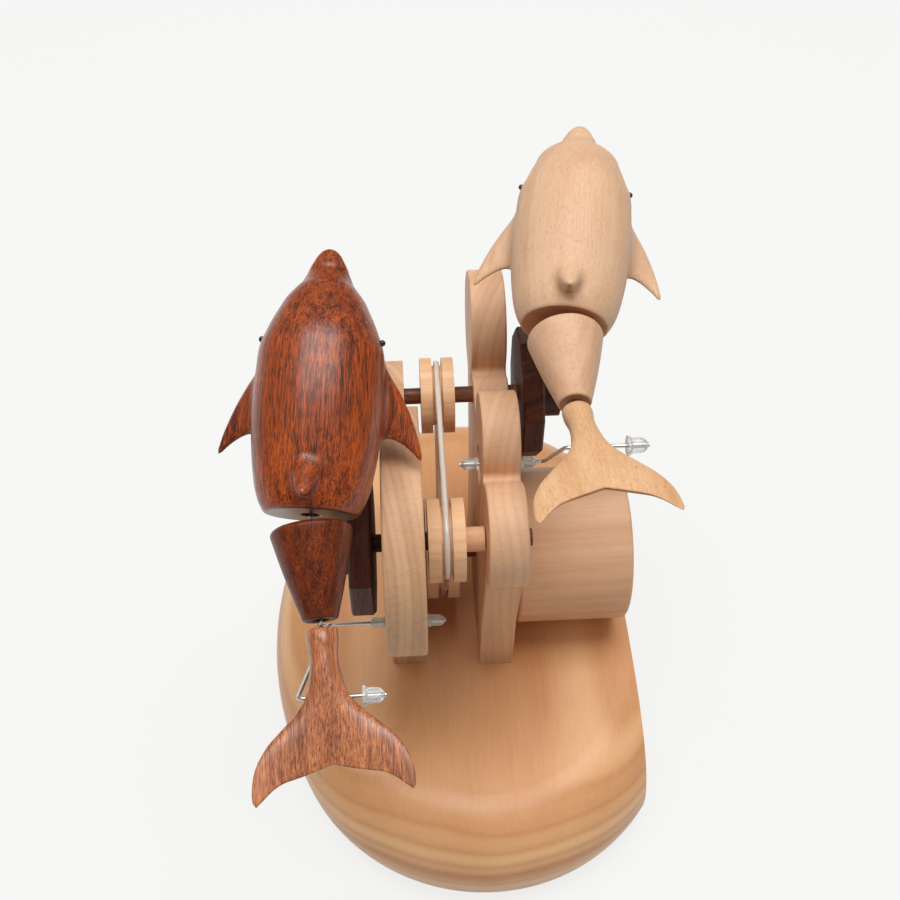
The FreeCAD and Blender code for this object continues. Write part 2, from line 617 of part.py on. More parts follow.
def eyelet_pocket(direction):
    """Counterbore in the end grain that leaves room for the ring, and the shank's hole."""
    face = Vector(0, direction * (TAIL_GAP / 2 - 0.5), 0)
    pocket = Part.makeCylinder(RECESS_RADIUS, RECESS_DEPTH + 0.5, face, Vector(0, direction, 0))
    start = Vector(0, direction * (EYELET_OFFSET + EYELET_RADIUS), 0)
    hole = Part.makeCylinder(EYELET_WIRE, EYELET_SHANK, start, Vector(0, direction, 0))
    return pocket.fuse(hole)


def make_dolphin(d):
    name = d["name"]
    hinge = (d["x"], d["hinge"][0], d["hinge"][1])
    pin, arm_near, arm_far = make_crank(d)

    middle = behind(hinge, -ARM_STATION * BODY_LENGTH, d["pitch"], d["yaw"])
    body = body_form()
    body.translate(Vector(0, TAIL_GAP / 2, 0))
    body = aim(body, hinge, d["pitch"], d["yaw"])
    body = body.cut(aim(eyelet_pocket(1), hinge, d["pitch"], d["yaw"]))
    lean = (pin[0] - middle[1], pin[1] - middle[2])
    reach = math.hypot(*lean)
    inner = BODY_HEIGHT / 2 - ARM_SINK
    top = (middle[1] + lean[0] * inner / reach, middle[2] + lean[1] * inner / reach)
    arm = arm_blank(d, pin, arm_near, arm_far, top)
    add(name + "_arm", arm)
    eyes = [aim_bead(bead, hinge, d) for bead in eye_beads()]
    body = body.cut(arm)
    for bead in eyes:
        body = body.cut(bead)
    add(name + "_body", body)
    add(name + "_eyes", *eyes)
    add(name + "_body_eyelet", aim(eyelet(1), hinge, d["pitch"], d["yaw"]))

    cone = tail_cone().cut(eyelet_pocket(-1))
    rear_hinge = behind(hinge, CONE_LENGTH + TAIL_GAP, d["tail_pitch"], d["tail_yaw"])
    cone = aim(cone, hinge, d["tail_pitch"], d["tail_yaw"])
    cone = cone.cut(aim(eyelet_pocket(1), rear_hinge, d["tail_pitch"], d["tail_yaw"]))
    add(name + "_tail_cone", cone)
    add(name + "_cone_eyelets", aim(eyelet(-1), hinge, d["tail_pitch"], d["tail_yaw"]),
        aim(eyelet(1), rear_hinge, d["tail_pitch"], d["tail_yaw"]))

    pivot = behind(rear_hinge, PIVOT_BACK, d["fluke_pitch"], d["fluke_yaw"])
    fluke = fluke_form()
    pivot_half = half_width_at(fluke, -PIVOT_BACK)
    fluke = fluke.cut(eyelet_pocket(-1))
    fluke = aim(fluke, rear_hinge, d["fluke_pitch"], d["fluke_yaw"])
    fluke = fluke.cut(rod(pivot[0] - FLUKE_SPAN, pivot[0] + FLUKE_SPAN, pivot[1:], WIRE_RADIUS + RUN_FIT))
    add(name + "_fluke", fluke)
    add(name + "_fluke_eyelet", aim(eyelet(-1), rear_hinge, d["fluke_pitch"], d["fluke_yaw"]))
    low = polar(window_centre(d), CRANK_THROW, d["crank"])
    make_wire(d, low, pivot, pivot_half)
    for label, place in (("crank pin", pin), ("tail hinge", hinge[1:]), ("fluke hinge", rear_hinge[1:]),
                         ("wire pivot", pivot[1:]), ("wire end", low)):
        print("%s %s y=%.4f z=%.4f" % (name, label, place[0], place[1]))
    print("%s hinge x=%.4f" % (name, d["x"]))


def half_width_at(form, y):
    """Half width of a form that is symmetric about x = 0, on its axis at this y."""
    line = Part.makeLine(Vector(-FLUKE_SPAN, y, 0), Vector(FLUKE_SPAN, y, 0))
    return form.common(line).BoundBox.XMax


def aim_bead(bead, hinge, d):
    moved = bead.copy()
    moved.translate(Vector(0, TAIL_GAP / 2, 0))
    return aim(moved, hinge, d["pitch"], d["yaw"])


def stopper(x0, place, direction):
    """Clear bullet-shaped stopper: flange at x0, nose pointing along direction."""
    outline = [(0, WIRE_RADIUS)] + [(s * STOPPER_LENGTH, t * STOPPER_RADIUS) for s, t in STOPPER_FORM]
    outline.append((STOPPER_LENGTH, WIRE_RADIUS))
    points = [Vector(x0 + direction * s, place[0], place[1] + t) for s, t in outline]
    face = Part.Face(Part.makePolygon(points + points[:1]))
    return face.revolve(Vector(x0, place[0], place[1]), Vector(1, 0, 0), 360)


def make_wire(d, low, pivot, pivot_half):
    """Wire bent twice: through the plate at low, up beside the stalk and through it at pivot."""
    side = d["side"]
    high = (pivot[1], pivot[2])
    inside = LEFT_PLATE_IN_X if side < 0 else RIGHT_PLATE_IN_X
    outside = LEFT_PLATE_OUT_X if side < 0 else RIGHT_PLATE_OUT_X
    fluke_edge = pivot[0] + pivot_half + STOPPER_STALK_GAP
    stoppers = [stopper(inside - side * STOPPER_GAP, low, -side),
                stopper(outside + side * STOPPER_GAP, low, side),
                stopper(fluke_edge, high, 1)]
    low_end_x = inside - side * (STOPPER_GAP + STOPPER_LENGTH + WIRE_TIP)
    low_turn_x = outside + side * d["wire_reach"]
    high_turn_x = pivot[0] - pivot_half - ARM_WIRE_GAP
    high_end_x = fluke_edge + STOPPER_LENGTH + WIRE_TIP
    points = [Vector(low_end_x, *low), Vector(low_turn_x, *low), Vector(high_turn_x, *high),
              Vector(high_end_x, *high)]
    add(d["name"] + "_wire", sweep_round(bent_path(points, WIRE_BEND), WIRE_RADIUS))
    add(d["name"] + "_wire_stoppers", *stoppers)


# ---------------------------------------------------------------- build
def build():
    print("axles z=%.4f shaft z=%.4f" % (AXLE_Z, SHAFT_Z))
    make_base()
    make_dowels()
    make_left_plate()
    make_right_plate()
    make_drum()
    make_pulley("drive", SHAFT, DRIVE_RADIUS, DRIVE_CORE_RADIUS, SHAFT_RADIUS)
    make_pulley("front", FRONT_AXLE, PULLEY_RADIUS, CORE_RADIUS, AXLE_RADIUS)
    make_pulley("back", BACK_AXLE, PULLEY_RADIUS, CORE_RADIUS, AXLE_RADIUS)
    make_axles()
    make_belt()
    make_dolphin(DARK)
    make_dolphin(LIGHT)
    os.makedirs("parts", exist_ok=True)
    for name, shape in NODES.items():
        print("%-22s solids %d valid %s" % (name, len(shape.Solids), shape.isValid()))
        shape.exportStep("parts/%s.step" % name)


build()
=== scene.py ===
import json
import math
import bpy
import numpy as np
import openvdb
from mathutils import Matrix, Vector


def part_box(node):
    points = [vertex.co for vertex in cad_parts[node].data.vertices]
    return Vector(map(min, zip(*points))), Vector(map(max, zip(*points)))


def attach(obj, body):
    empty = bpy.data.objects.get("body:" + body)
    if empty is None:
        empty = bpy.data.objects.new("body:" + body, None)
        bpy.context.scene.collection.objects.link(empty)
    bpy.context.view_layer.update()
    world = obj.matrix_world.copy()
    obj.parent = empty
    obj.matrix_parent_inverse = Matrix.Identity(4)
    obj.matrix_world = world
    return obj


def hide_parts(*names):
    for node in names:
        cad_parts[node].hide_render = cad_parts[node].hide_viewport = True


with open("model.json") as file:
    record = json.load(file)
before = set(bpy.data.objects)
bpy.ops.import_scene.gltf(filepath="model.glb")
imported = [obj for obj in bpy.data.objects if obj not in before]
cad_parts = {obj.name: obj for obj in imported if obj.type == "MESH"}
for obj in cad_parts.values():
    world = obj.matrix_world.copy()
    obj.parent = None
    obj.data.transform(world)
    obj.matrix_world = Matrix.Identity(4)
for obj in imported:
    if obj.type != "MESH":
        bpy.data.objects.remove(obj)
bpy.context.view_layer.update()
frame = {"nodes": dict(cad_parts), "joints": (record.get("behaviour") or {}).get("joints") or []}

# Wooden crank automaton with two dolphins: the looks of every surface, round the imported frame.
# Lengths are written in millimetres and turned into metres by MM.
MM = 0.001
NODES = frame["nodes"]
JOINTS = {joint["name"]: joint for joint in frame["joints"]}
PLATE_MIDDLE = {"dark": sum(corner[0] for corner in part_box("left_frame_plate")) / 2,
                "light": sum(corner[0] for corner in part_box("right_frame_plate")) / 2}


# ---------------------------------------------------------------- how the dolphins lie
# pitch (nose up) and yaw (nose to the right) of the parts of each dolphin, in degrees
POSES = {"dark": {"pitch": 27.0, "yaw": 5.5, "tail_pitch": 22.0, "tail_yaw": -5.6,
                  "fluke_pitch": 18.0, "fluke_yaw": -4.5},
         "light": {"pitch": 14.5, "yaw": 9.7, "tail_pitch": 4.0, "tail_yaw": 0.0,
                   "fluke_pitch": -14.5, "fluke_yaw": -3.5}}

# ---------------------------------------------------------------- numbers of the bodies
VOXEL = 0.42              # grid in which the bodies are carved
BAND = 1.6                # how far from the surface the grid keeps true distances
GRID_LOW = (-33.0, -1.5, -20.0)
GRID_HIGH = (33.0, 85.0, 23.0)
LEAST_HALF = 0.3          # no section is thinner than this
LEAST_SLOPE = 1e-4        # against division by nothing in the middle of a section

# trunk and forehead: place along the body from the tail end, half width, height of the middle,
# half height
TRUNK = [(-4.0, 12.4, -0.2, 11.2), (0.0, 13.9, 0.0, 12.5), (3.5, 15.7, 0.1, 13.7),
         (6.5, 16.7, 0.2, 14.4), (12.5, 17.9, 0.3, 15.4), (24.6, 19.2, 0.6, 16.5),
         (43.0, 19.2, 0.5, 16.5), (50.9, 18.5, 0.3, 15.9), (54.7, 17.2, 0.1, 15.1),
         (58.6, 15.7, -0.1, 13.7), (62.5, 13.9, -0.3, 12.1), (66.3, 12.0, -0.6, 10.3),
         (68.3, 10.6, -0.8, 9.2), (70.3, 9.0, -1.0, 7.9), (72.2, 7.2, -1.3, 6.4),
         (74.2, 5.4, -1.6, 4.7), (76.0, 3.2, -1.8, 2.9), (77.0, 1.2, -1.9, 1.2)]
# how much wider the forehead of the light dolphin is at those places
LIGHT_BROW = {58.6: 0.3, 62.5: 0.8, 66.3: 1.6, 68.3: 1.8, 70.3: 1.6, 72.2: 1.4, 74.2: 0.6}
# beak: same columns as the trunk
BEAK = [(58.0, 6.6, -2.8, 5.2), (70.0, 7.3, -2.9, 4.9), (72.2, 7.3, -2.9, 4.7),
        (74.2, 7.0, -2.9, 4.4), (76.2, 6.4, -2.8, 4.0), (78.1, 5.65, -2.7, 3.6),
        (80.1, 4.6, -2.6, 3.0), (81.4, 3.9, -2.5, 2.5), (82.1, 3.4, -2.5, 2.1),
        (82.8, 2.8, -2.4, 1.7), (83.5, 1.9, -2.3, 1.2), (84.0, 0.8, -2.3, 0.5)]
# pectoral fin: x, y of the middle, half chord, z of the middle, half thickness
PECTORAL = [(12.0, 37.8, 12.6, -5.0, 4.2), (16.0, 37.1, 11.6, -5.7, 3.4),
            (19.5, 35.8, 10.2, -6.5, 2.7), (24.5, 31.5, 7.2, -8.3, 1.9),
            (28.3, 26.0, 4.4, -9.3, 1.3), (30.4, 21.8, 2.2, -9.6, 0.8),
            (31.1, 20.2, 0.9, -9.7, 0.4)]
# dorsal fin: z, y of the middle, half chord, x of the middle, half thickness
DORSAL = [(8.0, 12.6, 8.8, 0.0, 5.6), (12.0, 11.0, 7.4, 0.0, 4.9), (15.5, 8.8, 5.6, 0.0, 3.9),
          (18.2, 6.0, 3.6, 0.0, 2.7), (20.2, 3.8, 1.7, 0.0, 1.5), (21.0, 2.9, 0.6, 0.0, 0.6)]
# how far the forms run into each other, and how round the rim of the rear face is
BEAK_BLEND = 3.5
FIN_BLEND = 5.0
DORSAL_BLEND = 2.0
RIM_ROUND = 0.9

# ---------------------------------------------------------------- numbers of the tail cones
TAIL_GAP = 4.0            # between body and cone, with the tail hinge in its middle
CONE_LENGTH = 27.0
CONE_FRONT = 12.0         # radius
CONE_REAR = 5.3
CONE_SWELL = 0.3          # how far the taper bulges halfway
CONE_FRONT_EDGE = 1.6     # rounding of the rims, and its steps
CONE_FRONT_STEPS = 8
CONE_REAR_EDGE = 0.9
CONE_REAR_STEPS = 6
TAPER_STEPS = 12
# round hollows of body, cone and fluke, in which the eye screws sit
POCKET_RADIUS = 2.7
POCKET_DEPTH = 2.6
POCKET_ROUND = 0.3        # rounding of its rim in a body
POCKET_BEVEL = 0.15       # bevel of its rim in a cone
POCKET_CORNER = 0.1       # bevel at its bottom
TURNED_STEPS = 96         # round the axis of a turned part
AXIS_RADIUS = 0.02        # of the ring that closes a turned part on its axis

# ---------------------------------------------------------------- numbers of the flukes
# in plan: distance behind the hinge and half width along the leading edge, and distance from
# the middle and behind the hinge along the trailing edge
FLUKE_LEADING = [(1.7, 4.5), (3.0, 4.55), (8.0, 4.0), (14.6, 4.5), (17.9, 5.2), (21.2, 6.6),
                 (24.6, 9.2), (27.9, 12.4), (31.2, 15.7), (34.5, 18.1), (37.8, 19.7),
                 (42.0, 20.6), (45.0, 20.75), (47.0, 20.4), (48.0, 19.6)]
FLUKE_TRAILING = [(0.0, 39.0), (4.8, 40.5), (9.7, 41.7), (12.6, 42.4), (15.5, 44.0),
                  (18.4, 46.6), (20.0, 48.0)]
# share of the way from its front face to the trailing edge, and half thickness there
FLUKE_THICK = [(0.0, 3.9), (0.03, 4.3), (0.2, 4.1), (0.36, 3.7), (0.48, 3.2), (0.6, 2.6),
               (0.72, 2.0), (0.84, 1.45), (0.94, 0.95), (1.0, 0.55)]
# each fluke is carved by hand: where its front face is behind the hinge, share of the width
# above, how much shorter it is, and how far its tips droop
FLUKES = {"dark": {"front": 0.8, "widen": 1.06, "shorten": 1.2, "droop": -0.8},
          "light": {"front": 1.2, "widen": 0.98, "shorten": 0.0, "droop": 3.0}}
FLUKE_STEPS = 96          # from the front face to the trailing edge
FLUKE_RING = 72           # points round each ring
SWEEP_POWER = 3           # how late the rings turn from straight across to the trailing edge
SWEEP_ROUNDS = 12         # rounds in which a swept ring finds its width
RIM_THIN = 0.45           # how much thinner the lobes are at their leading edge
RIM_POWER = 2.5           # and how near to the edge that begins

# ---------------------------------------------------------------- numbers of the clear stoppers
STOPPER_LENGTH = 6.2
STOPPER_BORE = 0.62       # radius of the hole for the wire
# radii of the flange and the barrel: at a plate, and at the free end by the fluke
STOPPERS = {"plate": {"flange": 2.3, "barrel": 1.95}, "free": {"flange": 2.9, "barrel": 2.2}}
# flange in section: place along the stopper, and how far inside the flange's radius
FLANGE_SECTION = [(0.0, 0.25), (0.08, 0.08), (0.25, 0.0), (0.75, 0.0), (0.95, 0.08), (1.05, 0.25)]
FILLET = (1.1, 0.15)      # between flange and barrel: place, and how far outside the barrel
BARREL_START = 1.25
BARREL_STEPS = 5
NOSE_LENGTH = 1.05        # share of the barrel's radius
NOSE_STEPS = 10
NOSE_FLAT = 0.75          # radius of the flat tip
RIBS = 8
RIB_HEIGHT = 0.09
RIB_MARGIN = 1.2          # where the ribs begin, and how far they run past the nose's start
SAME_DIGITS = 7           # of a place in metres, by which two corners are one


# ---------------------------------------------------------------- materials
def tone(red, green, blue):
    """An sRGB colour from 0 to 255 as a linear colour."""
    def linear(v):
        v = v / 255
        return v / 12.92 if v <= 0.04045 else ((v + 0.055) / 1.055) ** 2.4
    return (linear(red), linear(green), linear(blue), 1.0)


class Surface:
    """A material with short calls for its nodes."""

    def __init__(self, name, **values):
        self.material = bpy.data.materials.new(name)
        self.material.use_nodes = True
        self.tree = self.material.node_tree
        self.shader = self.tree.nodes["Principled BSDF"]
        self.give(**values)

    def give(self, **values):
        """Set the shader's own sockets; Base_Color stands for its socket Base Color."""
        for key, value in values.items():
            self.shader.inputs[key.replace("_", " ")].default_value = value

    def node(self, kind, **settings):
        made = self.tree.nodes.new("ShaderNode" + kind)
        for key, value in settings.items():
            setattr(made, key, value)
        return made

    def wire(self, value, socket):
        """A node's output goes by a link; a plain value is set on the socket."""
        if isinstance(value, bpy.types.NodeSocket):
            self.tree.links.new(value, socket)
        else:
            socket.default_value = value

    def place(self):
        """Place on the object, in mm."""
        return self.vector("MULTIPLY", self.node("TexCoord").outputs["Object"], (1 / MM,) * 3)

    def math(self, operation, a, b=0.0, c=0.0):
        made = self.node("Math", operation=operation)
        for value, socket in zip((a, b, c), made.inputs):
            self.wire(value, socket)
        return made.outputs[0]

    def vector(self, operation, a, b):
        made = self.node("VectorMath", operation=operation)
        self.wire(a, made.inputs[0])
        self.wire(b, made.inputs[1])
        return made.outputs[0]

    def mix(self, factor, a, b, blend="MIX"):
        made = self.node("Mix", data_type="RGBA", blend_type=blend)
        for value, socket in ((factor, 0), (a, 6), (b, 7)):
            self.wire(value, made.inputs[socket])
        return made.outputs[2]

    def noise(self, place, steps, detail=2.0, rough=0.5, output="Fac"):
        """Noise with so many steps per mm along each axis."""
        made = self.node("TexNoise")
        self.wire(self.vector("MULTIPLY", place, steps), made.inputs["Vector"])
        made.inputs["Scale"].default_value = 1.0
        made.inputs["Detail"].default_value = detail
        made.inputs["Roughness"].default_value = rough
        return made.outputs[output]

    def ramp(self, value, *stops):
        """Greys from stops of (value, grey)."""
        made = self.node("ValToRGB")
        points = made.color_ramp.elements
        while len(points) < len(stops):
            points.new(0.5)
        for point, (place, grey) in zip(points, stops):
            point.position = place
            point.color = (grey, grey, grey, 1)
        self.wire(value, made.inputs["Fac"])
        return made.outputs["Color"]

    def spread(self, value, low, high, to_low, to_high):
        """A value from low to high as one from to_low to to_high."""
        made = self.node("MapRange")
        for setting, socket in ((value, "Value"), (low, "From Min"), (high, "From Max"),
                                (to_low, "To Min"), (to_high, "To Max")):
            self.wire(setting, made.inputs[socket])
        return made.outputs[0]

    def bump(self, height, distance):
        made = self.node("Bump")
        made.inputs["Strength"].default_value = BUMP_STRENGTH
        made.inputs["Distance"].default_value = distance
        self.wire(height, made.inputs["Height"])
        self.tree.links.new(made.outputs[0], self.shader.inputs["Normal"])


GRAIN_AXIS = {"X": (1, 0, 0), "Y": (0, 1, 0), "Z": (0, 0, 1)}
# turns that lay the fibres along Y
GRAIN_TURN = {"X": (0, 0, math.radians(90)), "Y": (0, 0, 0), "Z": (math.radians(-90), 0, 0)}

# steps per mm of the noise in wood: across the fibres, along them, and deep into the wood
BEND_STEPS = (0.014, 0.006, 0.014)
COARSE_STEPS = (0.7, 0.03, 0.7)
CLOUD_STEPS = (0.05, 0.02, 0.05)
PORE_STEPS = (4.6, 0.24, 4.6)
FLECK_STEPS = (3.4, 0.55, 3.4)
RAY_STEPS = (0.12, 0.25, 2.2)
FIBRE_STRETCH = 36        # how many times longer than wide the fine fibres are
BEND_REACH = (14.0, 0.0, 14.0)      # how far the fibres bend
FINE_SHARE = 0.6          # of the fine fibres in the streaks; the rest is coarse
FINE_RANGE = (0.3, 0.7)   # of their noise, over which the roughness changes
STREAK_GAIN = 4
CLOUD_GAIN = 2
BAND_STEPS = 0.6          # bands per year
BAND_DETAIL = 1.5
# how the bands fade in and out, and how the line that ends a year does
BAND_RAMP = ((0.34, 0.0), (0.66, 1.0))
YEAR_RAMP = ((0.0, 0.0), (0.5, 0.1), (0.82, 1.0), (1.0, 0.0))
# between which values of their noise pores, flecks and rays come in, and end grain, whose
# darkening also paints shade, by how much the surface faces along the fibres
PORE_RAMP = ((0.52, 0.0), (0.64, 1.0))
FLECK_RAMP = ((0.62, 0.0), (0.72, 1.0))
RAY_RAMP = ((0.54, 0.0), (0.66, 1.0))
END_GRAIN_AND_SHADE_RAMP = ((0.86, 0.0), (0.97, 1.0))
# depth of fibres, pores and flecks as shares of the relief
FINE_DEPTH = 0.5
PORE_DEPTH = 0.8
FLECK_DEPTH = 0.35
BUMP_STRENGTH = 0.7
COAT_ROUGHNESS = 0.3
WORN_END = 0.7            # value of the noise at which the roughness of plain things is highest
CLEAR_IOR = 1.3
CLEAR_COAT_ROUGHNESS = 0.12


def fibres(s, grain, shift):
    """Place in mm with Y along the fibres, which bend slowly."""
    turned = s.node("Mapping")
    turned.inputs["Rotation"].default_value = GRAIN_TURN[grain]
    turned.inputs["Location"].default_value = shift
    s.wire(s.place(), turned.inputs["Vector"])
    bend = s.noise(turned.outputs[0], BEND_STEPS, detail=1.0, output="Color")
    off = s.vector("SUBTRACT", bend, (0.5, 0.5, 0.5))
    return s.vector("ADD", turned.outputs[0], s.vector("MULTIPLY", off, BEND_REACH))


def years(s, fibre, pith, ring, ring_depth, ring_line):
    """How dark the growth rings are: bands of different width, and the line that ends a year."""
    parts = s.node("SeparateXYZ")
    s.wire(fibre, parts.inputs[0])
    across = s.math("SUBTRACT", parts.outputs[0], pith[0])
    deep = s.math("SUBTRACT", parts.outputs[2], pith[1])
    squares = s.math("ADD", s.math("MULTIPLY", across, across), s.math("MULTIPLY", deep, deep))
    phase = s.math("DIVIDE", s.math("SQRT", squares), ring)
    bands = s.node("TexNoise", noise_dimensions="1D")
    s.wire(phase, bands.inputs["W"])
    bands.inputs["Scale"].default_value = BAND_STEPS
    bands.inputs["Detail"].default_value = BAND_DETAIL
    band = s.ramp(bands.outputs["Fac"], *BAND_RAMP)
    line = s.ramp(s.math("FRACT", phase), *YEAR_RAMP)
    return s.math("MULTIPLY_ADD", line, ring_line, s.math("MULTIPLY", band, ring_depth))


def wood(name, grain, pith, light, dark, ring=3.2, ring_depth=0.5, ring_line=0.3, streak=0.35,
         pore=0.0, pore_tone=tone(60, 18, 8), fleck=0.0, rays=0.0, mottle=0.25, shift=(0, 0, 0),
         rough=(0.42, 0.58), specular=0.4, coat=0.0, relief=0.2, fine_step=2.6, end_grain_and_shade=0.0):
    """Wood with growth rings round a pith line, fibres, pores, ray flecks and an oiled surface.
    grain is the axis of the fibres, and pith is where the pith line lies across them. ring is
    the width of a year, and relief the depth of the bumps, in mm. fine_step is the number of
    fine fibres per mm. The other numbers say how strong each feature is."""
    s = Surface(name, Specular_IOR_Level=specular)
    fibre = fibres(s, grain, shift)
    fine = s.noise(fibre, (fine_step, fine_step / FIBRE_STRETCH, fine_step),
                   detail=3.0, rough=0.65)
    coarse = s.noise(fibre, COARSE_STEPS, rough=0.6)
    lines = s.math("ADD", s.math("MULTIPLY", fine, FINE_SHARE),
                   s.math("MULTIPLY", coarse, 1 - FINE_SHARE))
    lines = s.math("MULTIPLY", s.math("SUBTRACT", lines, 0.5), streak * STREAK_GAIN)
    total = s.math("ADD", years(s, fibre, pith, ring, ring_depth, ring_line),
                   0.5 - (ring_depth + ring_line) / 2)
    total = s.math("ADD", total, lines)
    cloud = s.math("SUBTRACT", s.noise(fibre, CLOUD_STEPS), 0.5)
    total = s.math("ADD", total, s.math("MULTIPLY", cloud, mottle * CLOUD_GAIN))
    clamp = s.node("Clamp")
    s.wire(total, clamp.inputs[0])
    colour = s.mix(clamp.outputs[0], light, dark)
    height = s.math("MULTIPLY", fine, FINE_DEPTH)
    if pore:
        mask = s.ramp(s.noise(fibre, PORE_STEPS, detail=1.5, rough=0.7), *PORE_RAMP)
        colour = s.mix(s.math("MULTIPLY", mask, pore), colour, pore_tone)
        height = s.math("SUBTRACT", height, s.math("MULTIPLY", mask, PORE_DEPTH))
    if fleck:
        mask = s.ramp(s.noise(fibre, FLECK_STEPS, detail=1.0), *FLECK_RAMP)
        colour = s.mix(s.math("MULTIPLY", mask, fleck), colour, dark, "MULTIPLY")
        height = s.math("SUBTRACT", height, s.math("MULTIPLY", mask, FLECK_DEPTH))
    if rays:
        mask = s.ramp(s.noise(fibre, RAY_STEPS, rough=0.6), *RAY_RAMP)
        colour = s.mix(s.math("MULTIPLY", mask, rays), colour, dark, "MULTIPLY")
    if end_grain_and_shade:
        # end grain drinks more oil, and the same darkening paints the shade on faces across the
        # fibres, such as the body's rear face in the gap before the cone: darker where the surface
        # faces along the fibres
        facing = s.node("VectorMath", operation="DOT_PRODUCT")
        s.wire(s.node("TexCoord").outputs["Normal"], facing.inputs[0])
        facing.inputs[1].default_value = GRAIN_AXIS[grain]
        mask = s.ramp(s.math("ABSOLUTE", facing.outputs["Value"]), *END_GRAIN_AND_SHADE_RAMP)
        colour = s.mix(s.math("MULTIPLY", mask, end_grain_and_shade), colour, dark, "MULTIPLY")
    s.wire(colour, s.shader.inputs["Base Color"])
    s.wire(s.spread(fine, *FINE_RANGE, *rough), s.shader.inputs["Roughness"])
    if coat:
        s.give(Coat_Weight=coat, Coat_Roughness=COAT_ROUGHNESS)
    s.bump(height, relief * MM)
    return s.material


def worn(s, steps, rough, detail=3.0, start=0.3):
    """Roughness that wanders between two values, in spots of 1 / steps mm."""
    spots = s.noise(s.place(), (steps,) * 3, detail)
    s.wire(s.ramp(spots, (start, rough[0]), (WORN_END, rough[1])), s.shader.inputs["Roughness"])
    return s.material


def steel():
    """Bright wire with fine scratches."""
    s = Surface("bright_steel", Base_Color=tone(205, 205, 203), Metallic=1.0)
    return worn(s, 2.5, (0.22, 0.38))


def clear(name, colour, rough, haze, coat):
    """Soft clear plastic: mostly transmission, a little white body, a wet-looking skin."""
    s = Surface(name, Base_Color=colour, Transmission_Weight=1.0 - haze, IOR=CLEAR_IOR,
                Coat_Weight=coat, Coat_Roughness=CLEAR_COAT_ROUGHNESS)
    return worn(s, 1.2, rough, start=0.35)


def bead():
    """Glossy black glass of the eyes."""
    s = Surface("black_bead", Base_Color=tone(14, 12, 12), Coat_Weight=0.6)
    return worn(s, 3.0, (0.08, 0.16), detail=2.0)


# what the woods of each dolphin have in common
DARK_WOOD = {"grain": "Y", "ring": 3.4, "ring_depth": 0.2, "ring_line": 0.06, "mottle": 0.3,
             "relief": 0.12, "fine_step": 3.4}
LIGHT_WOOD = {"grain": "Y", "rough": (0.42, 0.54), "specular": 0.3, "fine_step": 3.0}

